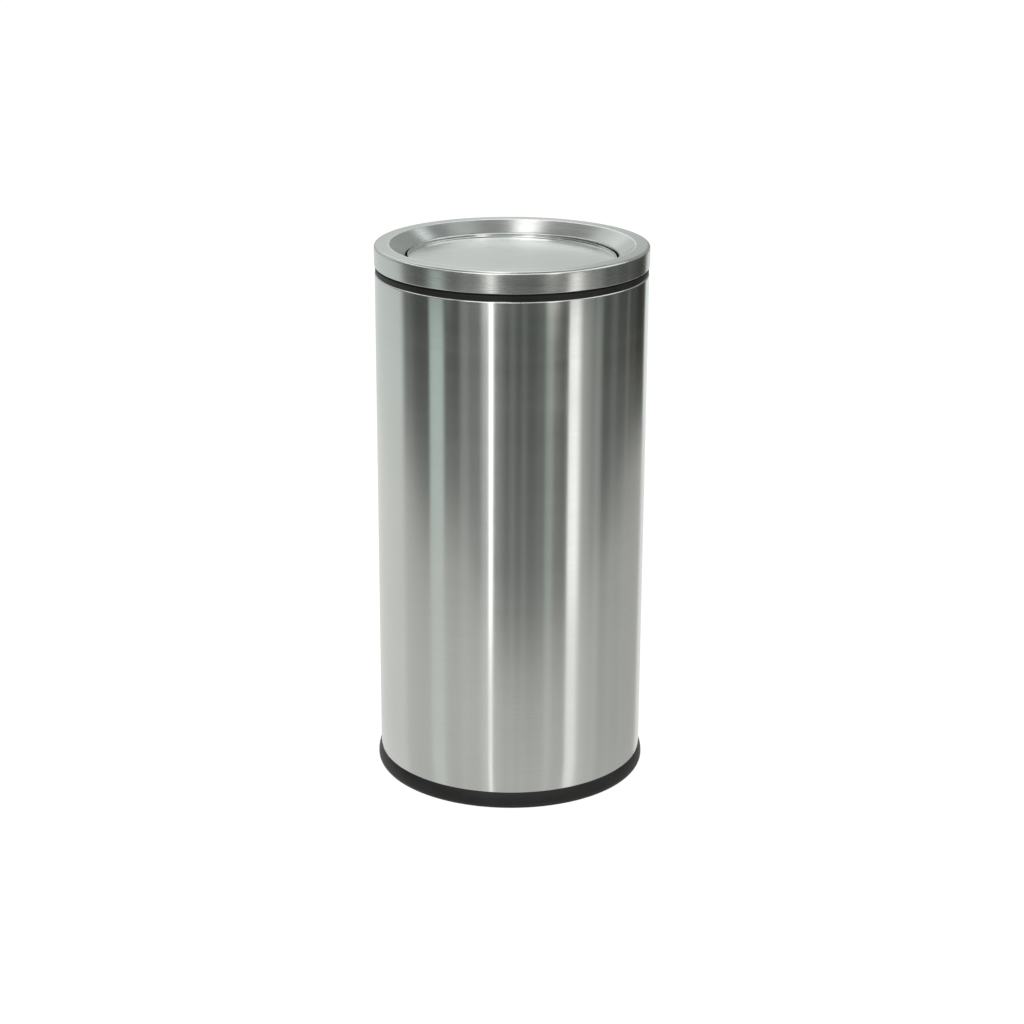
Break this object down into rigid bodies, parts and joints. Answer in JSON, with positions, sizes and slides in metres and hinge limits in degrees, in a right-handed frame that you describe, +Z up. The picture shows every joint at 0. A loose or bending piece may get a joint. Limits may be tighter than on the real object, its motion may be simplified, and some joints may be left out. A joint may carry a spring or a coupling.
{
  "type": "round waste bin",
  "caption": "Round stainless steel waste bin with a self-closing swing flap in a lift-off lid, a black base ring and a lift-out galvanised liner with a wire bail.",
  "frame": {"origin": "middle of the footprint, on the floor under the base ring", "axes": "+Z up along the bin's axis, -Y the front, +X to the right seen from the front"},
  "size_m": [0.3064, 0.3064, 0.6056],
  "materials": {
    "polished_steel": "polished stainless steel with a fine vertical-light hairline",
    "satin_steel": "satin brushed stainless steel",
    "black_plastic": "satin black moulded plastic",
    "black_rubber": "matt black rubber",
    "galvanised_steel": "galvanised sheet with a dull spangle",
    "zinc_plated": "bright zinc plate",
    "weight_steel": "black painted steel bar",
    "nylon": "natural nylon",
    "wire_steel": "galvanised wire"
  },
  "bodies": {
    "bin": {"outer_shell": "polished_steel", "neck_ring": "black_plastic", "base_ring": "black_plastic", "bottom_plate": "galvanised_steel", "base_screws": "zinc_plated"},
    "liner": {"liner_wall": "galvanised_steel", "liner_bottom": "galvanised_steel", "liner_rim_wire": "wire_steel", "front_handle_ear": "zinc_plated", "rear_handle_ear": "zinc_plated", "ear_rivets": "zinc_plated"},
    "bail": {"bail_wire": "wire_steel", "bail_grip": "black_plastic"},
    "lid": {"lid_ring": "satin_steel", "lid_seal": "black_rubber", "front_pivot_bracket": "zinc_plated", "rear_pivot_bracket": "zinc_plated", "bracket_rivets": "zinc_plated", "front_pivot_pin": "zinc_plated", "rear_pivot_pin": "zinc_plated", "pin_nuts": "zinc_plated", "stop_bumpers": "black_rubber"},
    "flap": {"flap_disc": "satin_steel", "flap_channel": "zinc_plated", "front_pivot_bush": "nylon", "rear_pivot_bush": "nylon", "counterweight": "weight_steel", "weight_screws": "zinc_plated", "weight_nuts": "zinc_plated", "weight_washers": "zinc_plated"}
  },
  "joints": [
    {"name": "lid_lift", "type": "slide", "parent": "bin", "child": "lid", "axis": [0, 0, 1], "range_m": [0, 0.9]},
    {"name": "flap_swing", "type": "hinge", "parent": "lid", "child": "flap", "pos_m": [0, 0, 0.5802], "axis": [0, 1, 0], "range_deg": [-78, 78]},
    {"name": "liner_lift", "type": "slide", "parent": "bin", "child": "liner", "axis": [0, 0, 1], "range_m": [0, 0.612]},
    {"name": "bail_swing", "type": "hinge", "parent": "liner", "child": "bail", "pos_m": [0, 0, 0.5618], "axis": [0, -1, 0], "range_deg": [0, 90]}
  ],
  "couplings": [
    {"joint": "liner_lift", "follows": "lid_lift", "ratio": 0.68},
    {"joint": "bail_swing", "follows": "lid_lift", "rad_per_m": 1.7453}
  ]
}
